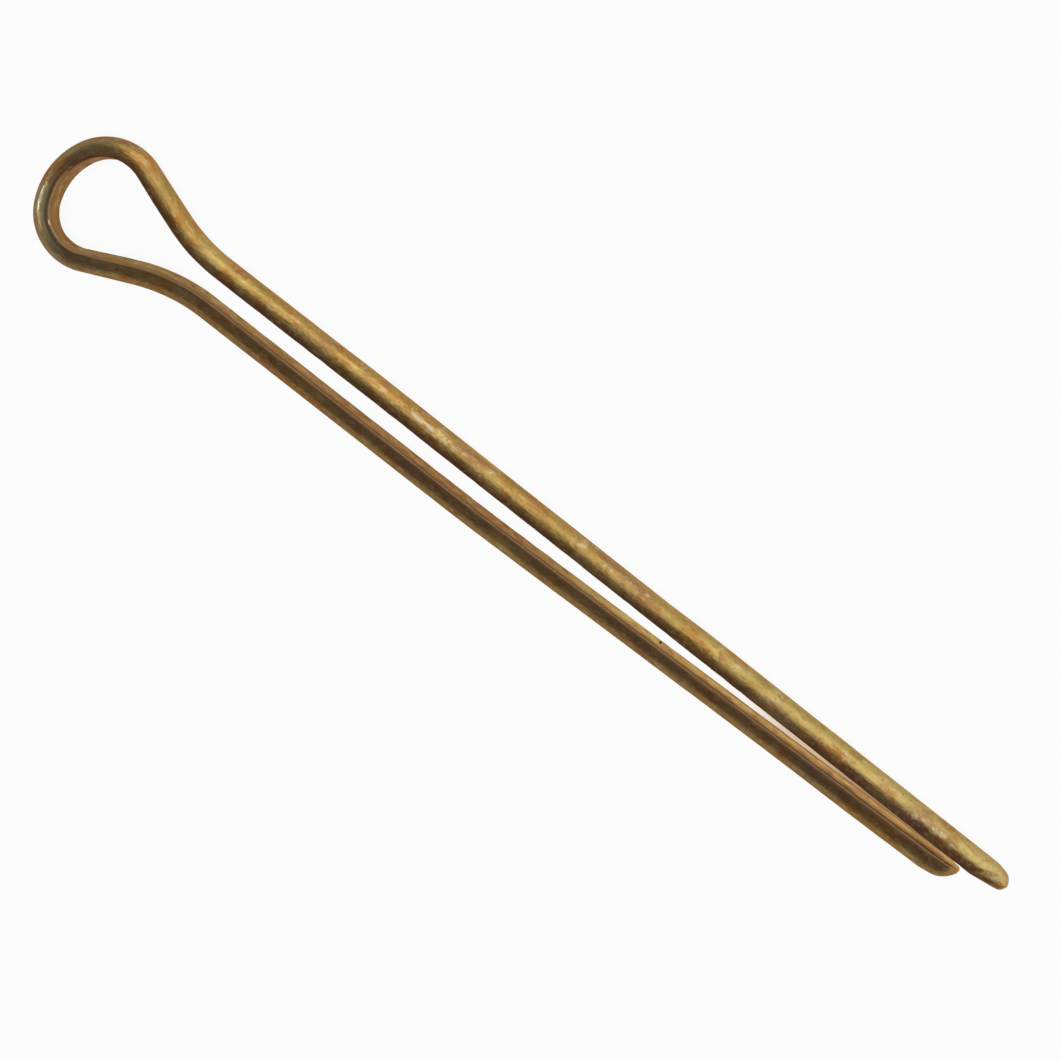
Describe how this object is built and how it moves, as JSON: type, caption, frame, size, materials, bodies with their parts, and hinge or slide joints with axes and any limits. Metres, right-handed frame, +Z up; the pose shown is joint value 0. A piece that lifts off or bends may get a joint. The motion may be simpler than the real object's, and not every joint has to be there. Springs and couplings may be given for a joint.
{
  "type": "cotter pin",
  "caption": "Split pin of half-round wire folded into an eye with unequal legs. It goes through a cross hole, and its legs are bent apart to hold a nut or clevis pin in place.",
  "frame": {"origin": "under the middle of the pin, on the surface that it lies on", "axes": "+X along the legs from the eye towards their ends, +Y towards the long leg, +Z up, square to the plane of the eye"},
  "size_m": [0.0975, 0.0118, 0.0036],
  "materials": {
    "plated_steel": "zinc plate with a yellow chromate film, thin and iridescent, with paler worn patches"
  },
  "bodies": {
    "root": {"cotter_pin": "plated_steel"}
  },
  "joints": []
}
